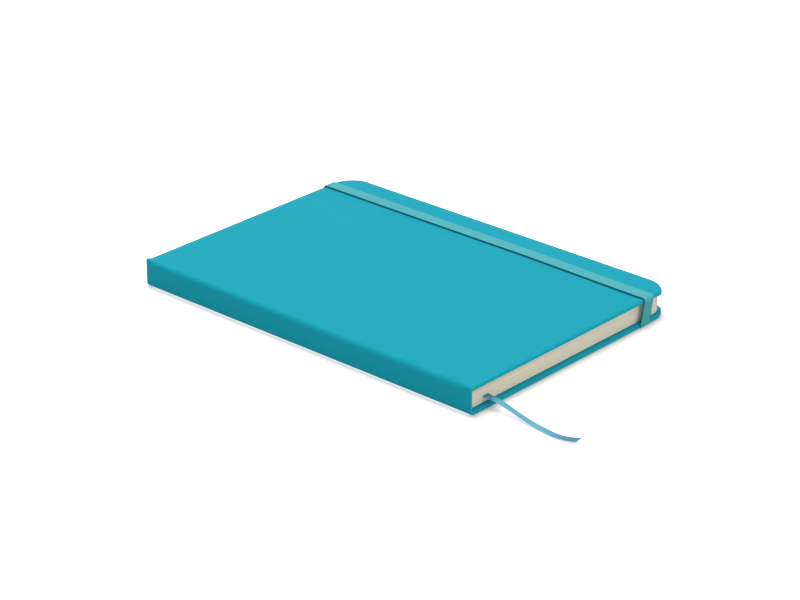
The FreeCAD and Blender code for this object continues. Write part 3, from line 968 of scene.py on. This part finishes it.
def closure_band(tape, material):
    """The whole loop. It leans towards the spine down each edge of the pages, and its top run drifts a
    little towards the spine at the tail."""
    tail = band_line()
    head = [(Vector((0, -p.y, p.z)), Vector((0, -out.y, out.z))) for p, out in reversed(tail[:-1])]
    line = tail + head
    shifts = []
    for point, out in line:
        top_x = BAND_TOP_X - BAND_DRIFT * smooth(BAND_DRIFT_START, HALF_LENGTH, -point.y)
        foot = BAND_LOW.x + BAND_LEAN * smooth(HALF_LENGTH - SLIT_SETBACK, HALF_LENGTH, abs(point.y))
        rise = min(max((point.z - BAND_THICKNESS) / (BAND_HIGH.z - 2 * BAND_THICKNESS), 0.0), 1.0)
        shifts.append(foot + (top_x - foot) * rise + BAND_WIDTH / 2)
    mesh = line_mesh("band_line", [p for p, _ in line], [out for _, out in line], shifts)
    made = tape.grow("elastic_closure", mesh, {
        "Width": BAND_WIDTH,
        "Thickness": BAND_THICKNESS,
        "Ribs": BAND_RIBS,
        "Rib height": BAND_RIB_HEIGHT,
        "Section points": BAND_SECTION_POINTS,
        "Slant": 0.0,
        "Slant reach": 1.0,
        "Material": material,
    })
    finish_faces(made.data)
    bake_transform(made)
    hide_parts("elastic_band")


# ---------------------------------------------------------------------------------------------------------
# The book, piece by piece
# ---------------------------------------------------------------------------------------------------------


def leaf_mesh(thickness):
    """One leaf of the pages, with its two fore-edge corners rounded."""
    radius = PAGE_CORNER_RADIUS
    outline = [(BLOCK_LOW.x, BLOCK_LOW.y)]
    for n in range(LEAF_CORNER_STEPS + 1):
        angle = math.pi / 2 * n / LEAF_CORNER_STEPS
        x = BLOCK_HIGH.x - radius + radius * math.sin(angle)
        y = BLOCK_LOW.y + radius - radius * math.cos(angle)
        outline.append((x, y))
    outline += [(x, -y) for x, y in reversed(outline)]
    count = len(outline)
    vertices = [(x, y, BLOCK_LOW.z) for x, y in outline]
    vertices += [(x, y, BLOCK_LOW.z + thickness) for x, y in outline]
    faces = [tuple(range(count)), tuple(range(count, 2 * count))]
    faces += [(n, (n + 1) % count, count + (n + 1) % count, count + n) for n in range(count)]
    mesh = bpy.data.meshes.new("leaf")
    mesh.from_pydata(vertices, [], faces)
    return mesh


def pages(material):
    """The block of pages, leaf by leaf."""
    pitch = (BLOCK_HIGH.z - BLOCK_LOW.z) / LEAVES
    made = leaf_stack_tree().grow("page_leaves", leaf_mesh(pitch * LEAF_SHARE), {
        "Leaves": LEAVES,
        "Pitch": pitch,
        "Unevenness": LEAF_UNEVENNESS,
        "Seed": LEAF_SEED,
        "Material": material,
    })
    finish_faces(made.data)
    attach(made, "text_block")
    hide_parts("page_block")


def covers(material):
    """The skins of both covers, each with its half of the spine. The back one is flat at its corners."""
    tight, full = SHOULDER_END_RADIUS, SHOULDER_FULL_RADIUS
    front = cover_skin("front_skin", material, tight, tight, HEAD_EAR, CORNER_DROOP)
    back = grooved(turned_over(cover_skin("back_skin", material, full, full, 0.0, 0.0)))
    for skin, body, leather, turned in (
        (front, "front_cover", "front_leather", False),
        (back, "back_cover", "back_leather", True),
    ):
        zs = [SHOULDER_Z, INNER_Z]
        if turned:
            zs = [BOOK_THICKNESS - z for z in zs]
        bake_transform(skin)
        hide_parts(leather, "spine_leather")


def endpapers(material):
    """Both endpapers, each made as the front one."""
    for name, body, pasted, free in (
        ("front_endpaper", "front_cover", "front_pastedown", "front_flyleaf"),
        ("back_endpaper", "back_cover", "back_pastedown", "back_flyleaf"),
    ):
        made = endpaper(name, material)
        zs = [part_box("front_flyleaf")[1].z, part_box("front_pastedown")[0].z]
        if body == "back_cover":
            turned_over(made)
            zs = [BOOK_THICKNESS - z for z in zs]
        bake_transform(made)
        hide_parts(pasted, free)


def dress(node, material):
    """Gives a part that stays as it is its finish."""
    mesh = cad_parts[node].data
    mesh.materials.clear()
    mesh.materials.append(material)


# ---------------------------------------------------------------------------------------------------------
# Floor and light
# ---------------------------------------------------------------------------------------------------------


def seen(tree):
    """1 for what is seen directly, in a gloss or through glass, and 0 for what only lights the book."""
    camera_ray = tree.node("ShaderNodeLightPath", output="Is Camera Ray")
    glossy_ray = tree.node("ShaderNodeLightPath", output="Is Glossy Ray")
    through_ray = tree.node("ShaderNodeLightPath", output="Is Transmission Ray")
    return camera_ray.math("MAXIMUM", glossy_ray).math("MAXIMUM", through_ray)


def floor():
    """A white surface under the book, whose own light keeps it white but for a shadow close to the book."""
    it = Finish("floor")
    colour = it.between(FLOOR_COLOUR, FLOOR_SEEN_COLOUR, seen(it))
    white = it.node("ShaderNodeBsdfDiffuse", {"Color": colour})
    spine_side, fore_side, end_side, open_floor = FLOOR_LIFT
    past_spine = it.axis("X") * -1.0 + SPINE_X
    by_spine = it.range(past_spine, 0, FLOOR_SPINE_REACH, spine_side, open_floor)
    by_spine = by_spine + it.range(past_spine, *FLOOR_CONTACT_SPAN, FLOOR_CONTACT, 0)
    out_x = (it.axis("X") - (FORE_X - CORNER_RADIUS)).math("MAXIMUM", 0)
    out_y = (it.axis("Y").math("ABSOLUTE") - (HALF_LENGTH - CORNER_RADIUS)).math("MAXIMUM", 0)
    never_zero = 0.1 * MM
    out = (out_x * out_x + out_y * out_y).math("SQRT").math("MAXIMUM", never_zero)
    near = out_y / out * (end_side - fore_side) + fore_side
    past_end = out - CORNER_RADIUS
    by_end = near + (near * -1.0 + open_floor) * it.range(past_end, 0, FLOOR_LIFT_REACH)
    level = by_spine + (by_end - by_spine) * it.range(past_end - past_spine, -FLOOR_BLEND, FLOOR_BLEND)
    glow = it.node("ShaderNodeEmission", {"Color": level, "Strength": seen(it)})
    both = it.node("ShaderNodeAddShader", {0: white, 1: glow})
    it.node("ShaderNodeOutputMaterial", {"Surface": both})
    corners = [(x * FLOOR_HALF, y * FLOOR_HALF, -FLOOR_GAP) for x, y in ((-1, -1), (1, -1), (1, 1), (-1, 1))]
    mesh = bpy.data.meshes.new("floor")
    mesh.from_pydata(corners, [], [(0, 1, 2, 3)])
    made = bpy.data.objects.new("floor", mesh)
    bpy.context.scene.collection.objects.link(made)
    mesh.materials.append(it.material)


def lights():
    """An even white world and two broad lamps."""
    world = bpy.data.worlds.new("studio")
    bpy.context.scene.world = world
    world.use_nodes = True
    world.node_tree.nodes.clear()
    it = Tree(world.node_tree)
    strength = it.node("ShaderNodeMapRange", {"Value": seen(it), "To Min": WORLD_LEVEL, "To Max": 1.0})
    back = it.node("ShaderNodeBackground", {"Color": (1, 1, 1, 1), "Strength": strength})
    it.node("ShaderNodeOutputWorld", {"Surface": back})
    for name, level, spread, yaw, rise in LAMPS:
        data = bpy.data.lights.new(name, "SUN")
        data.energy = level
        data.angle = math.radians(spread)
        lamp = bpy.data.objects.new(name, data)
        bpy.context.scene.collection.objects.link(lamp)
        yaw, rise = math.radians(yaw), math.radians(rise)
        toward = Vector((math.cos(rise) * math.cos(yaw), math.cos(rise) * math.sin(yaw), math.sin(rise)))
        lamp.rotation_euler = toward.to_track_quat("Z", "Y").to_euler()


bpy.context.scene.view_settings.view_transform = "Standard"
camera()
tape = tape_tree()
# The marker's ends are darkened as painted shade.
ribbon(tape, woven(
    "satin_ribbon", RIBBON_COLOURS,
    ribs=60, picks=9000, roughness=0.35, depth=0.01 * MM, painted_shade_share=ribbon_painted_shade,
))
# The elastic's selvedges and its runs below the top are darkened as painted shade.
closure_band(tape, woven(
    "elastic_weave", ELASTIC_COLOURS,
    ribs=BAND_RIBS * math.pi, picks=11000, roughness=0.8, depth=0.02 * MM, painted_shade_share=elastic_painted_shade,
))
covers(soft_leather())
pages(leaf_paper())
endpapers(end_paper())
board = grey_board()
for node in ("front_board", "back_board", "spine_card"):
    dress(node, board)
dress("spine_lining", open_weave())
dress("ribbon_inner", bpy.data.materials["satin_ribbon"])
floor()
lights()
